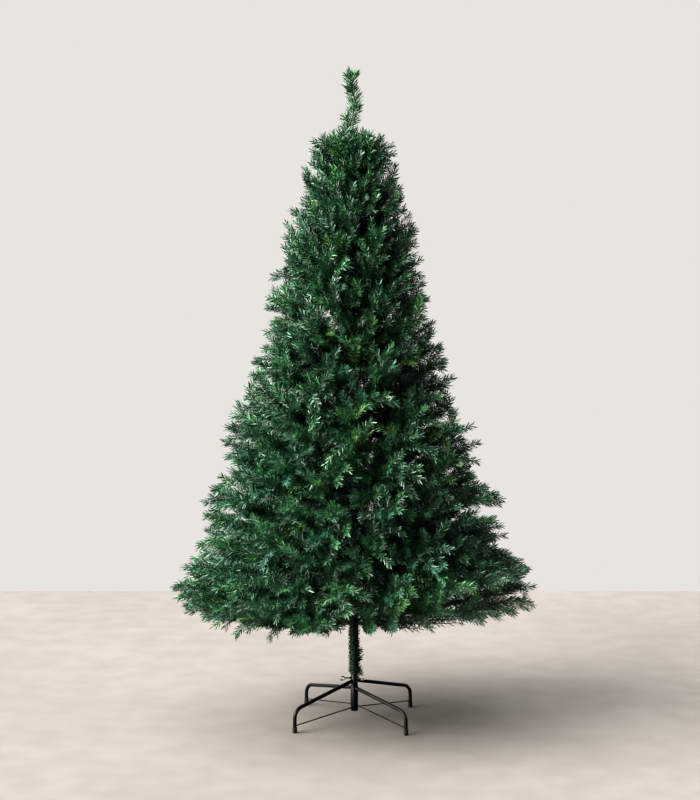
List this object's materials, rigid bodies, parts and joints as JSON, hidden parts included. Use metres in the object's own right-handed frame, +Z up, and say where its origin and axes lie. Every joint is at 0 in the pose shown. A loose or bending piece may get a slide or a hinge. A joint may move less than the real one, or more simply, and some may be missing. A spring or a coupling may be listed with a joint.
{
  "type": "artificial christmas tree",
  "caption": "Conical artificial fir with tinsel needles on wire boughs round a wrapped pole, upright in a folding steel stand with splayed bent legs.",
  "frame": {"origin": "point on the floor under the pole's foot, at the middle of the stand and of the crown's width and depth", "axes": "+Z up along the pole, +Y away from the front of the tree, +X to the right as seen from the front"},
  "size_m": [1.1834, 1.16, 2.1],
  "materials": {
    "stand_paint": "satin black",
    "foot_rubber": "matte black",
    "bolt_zinc": "dull zinc",
    "pole_wrap": "steel pole wrapped in green tinsel",
    "bough_wire": "green wire",
    "needles": "green plastic foil"
  },
  "bodies": {
    "root": {"bough_1_1": "bough_wire", "bough_1_2": "bough_wire", "bough_1_3": "bough_wire", "bough_1_4": "bough_wire", "bough_1_5": "bough_wire", "bough_1_6": "bough_wire", "brace_1": "stand_paint", "brace_2": "stand_paint", "brace_3": "stand_paint", "brace_4": "stand_paint", "eye_bolt_1": "bolt_zinc", "eye_bolt_2": "bolt_zinc", "eye_bolt_3": "bolt_zinc", "foliage_1_1": "needles", "foliage_1_2": "needles", "foliage_1_3": "needles", "foliage_1_4": "needles", "foliage_1_5": "needles", "foliage_1_6": "needles", "foliage_2_1": "needles", "foliage_2_2": "needles", "foliage_2_3": "needles", "foliage_2_4": "needles", "foliage_2_5": "needles", "foliage_3_1": "needles", "foliage_3_2": "needles", "foliage_3_3": "needles", "foliage_3_4": "needles", "foliage_4_1": "needles", "foliage_4_2": "needles", "foliage_4_3": "needles", "foliage_5_1": "needles", "foliage_5_2": "needles", "foliage_5_3": "needles", "foliage_6_1": "needles", "foliage_6_2": "needles", "foliage_6_3": "needles", "foliage_7_1": "needles", "foliage_7_2": "needles", "foliage_7_3": "needles", "foliage_8_1": "needles", "foliage_8_2": "needles", "foot_cap_1": "foot_rubber", "foot_cap_2": "foot_rubber", "foot_cap_3": "foot_rubber", "foot_cap_4": "foot_rubber", "leader": "needles", "leg_1": "stand_paint", "leg_2": "stand_paint", "leg_3": "stand_paint", "leg_4": "stand_paint", "pole": "pole_wrap", "stand_sleeve": "stand_paint", "stand_tube": "stand_paint"}
  },
  "joints": []
}
